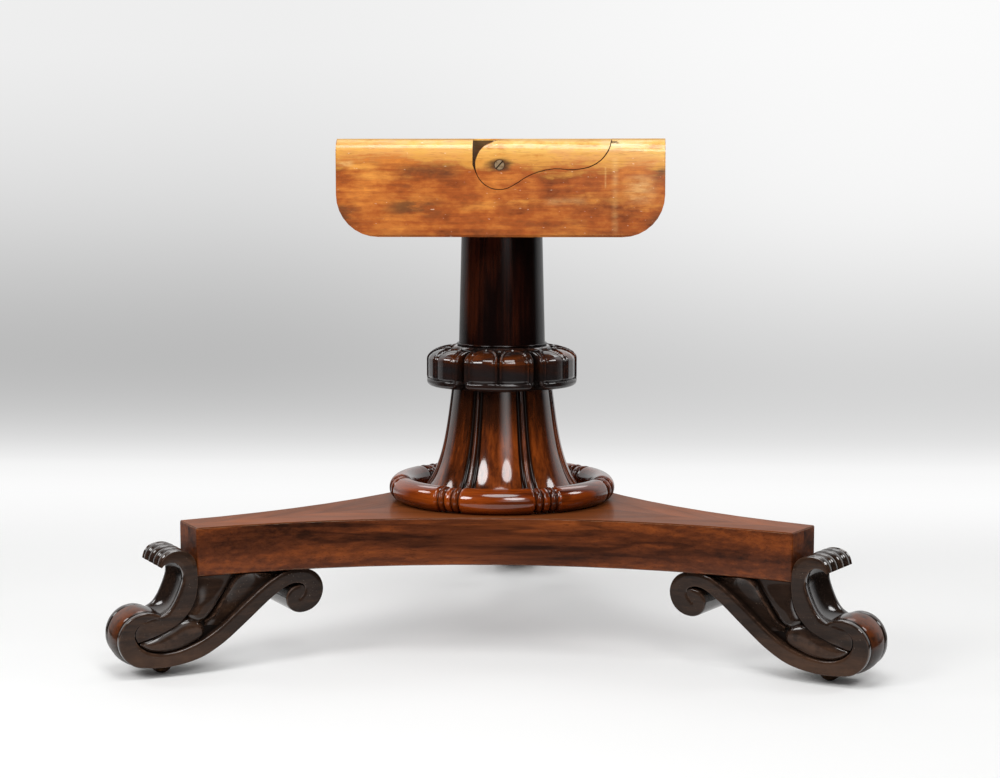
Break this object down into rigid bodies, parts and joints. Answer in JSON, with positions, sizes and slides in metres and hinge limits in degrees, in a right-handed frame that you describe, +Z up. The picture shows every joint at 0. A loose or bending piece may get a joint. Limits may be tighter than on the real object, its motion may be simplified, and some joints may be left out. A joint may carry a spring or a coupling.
{
  "type": "breakfast table stand",
  "caption": "Tilt-top breakfast table stand: hollow-sided platform on carved scroll feet with sunk castors, a lappet-carved column, and a bearer block with pivoting tilt arms.",
  "frame": {"origin": "on the floor under the middle of the footprint's box; the column stands on the Y axis in front of it", "axes": "+Z up, +X along the bearer block towards the tails of its tilt arms, -Y towards the two front feet"},
  "size_m": [1.0058, 0.8712, 0.69],
  "materials": {
    "rosewood": "French-polished rosewood",
    "dark_rosewood": "French-polished dark rosewood",
    "pine": "oiled softwood",
    "pine_arm": "oiled softwood",
    "beech": "bare beech",
    "steel": "aged iron screw",
    "brass": "dull brass"
  },
  "bodies": {
    "stand": {"bead_ring": "rosewood", "bearer_block": "pine", "castor_plate_left": "brass", "castor_plate_rear": "brass", "castor_plate_right": "brass", "castor_screw_left_a": "steel", "castor_screw_left_b": "steel", "castor_screw_rear_a": "steel", "castor_screw_rear_b": "steel", "castor_screw_right_a": "steel", "castor_screw_right_b": "steel", "column_shaft": "dark_rosewood", "fluted_stem": "rosewood", "foot_dowel_left": "beech", "foot_dowel_rear": "beech", "foot_dowel_right": "beech", "foot_left": "dark_rosewood", "foot_rear": "dark_rosewood", "foot_right": "dark_rosewood", "foot_screw_left": "steel", "foot_screw_rear": "steel", "foot_screw_right": "steel", "front_pivot_screw": "steel", "lappet_collar": "dark_rosewood", "platform": "rosewood", "rear_pivot_screw": "steel", "shaft_wedge": "beech", "stem_wedge": "beech"},
    "front_arm": {"front_tilt_arm": "pine_arm"},
    "rear_arm": {"rear_tilt_arm": "pine_arm"},
    "swivel_left": {"castor_horn_left": "brass", "castor_axle_left": "steel"},
    "wheel_left": {"castor_wheel_left": "brass"},
    "swivel_right": {"castor_horn_right": "brass", "castor_axle_right": "steel"},
    "wheel_right": {"castor_wheel_right": "brass"},
    "swivel_rear": {"castor_horn_rear": "brass", "castor_axle_rear": "steel"},
    "wheel_rear": {"castor_wheel_rear": "brass"}
  },
  "joints": [
    {"name": "front_arm_tilt", "type": "hinge", "parent": "stand", "child": "front_arm", "pos_m": [0.002, -0.1272, 0.6552], "axis": [0, -1, 0], "range_deg": [0, 90]},
    {"name": "rear_arm_tilt", "type": "hinge", "parent": "stand", "child": "rear_arm", "pos_m": [0.002, -0.1272, 0.6552], "axis": [0, -1, 0], "range_deg": [0, 90]},
    {"name": "castor_swivel_left", "type": "hinge", "parent": "stand", "child": "swivel_left", "pos_m": [-0.42591, -0.3731, 0.038], "axis": [0, 0, 1], "continuous": true},
    {"name": "wheel_spin_left", "type": "hinge", "parent": "swivel_left", "child": "wheel_left", "pos_m": [-0.43111, -0.3761, 0.0135], "axis": [0.5, -0.866, 0], "continuous": true},
    {"name": "castor_swivel_right", "type": "hinge", "parent": "stand", "child": "swivel_right", "pos_m": [0.42591, -0.3731, 0.038], "axis": [0, 0, 1], "continuous": true},
    {"name": "wheel_spin_right", "type": "hinge", "parent": "swivel_right", "child": "wheel_right", "pos_m": [0.43111, -0.3761, 0.0135], "axis": [0.5, 0.866, 0], "continuous": true},
    {"name": "castor_swivel_rear", "type": "hinge", "parent": "stand", "child": "swivel_rear", "pos_m": [0, 0.3646, 0.038], "axis": [0, 0, 1], "continuous": true},
    {"name": "wheel_spin_rear", "type": "hinge", "parent": "swivel_rear", "child": "wheel_rear", "pos_m": [0, 0.3706, 0.0135], "axis": [-1, 0, 0], "continuous": true}
  ]
}
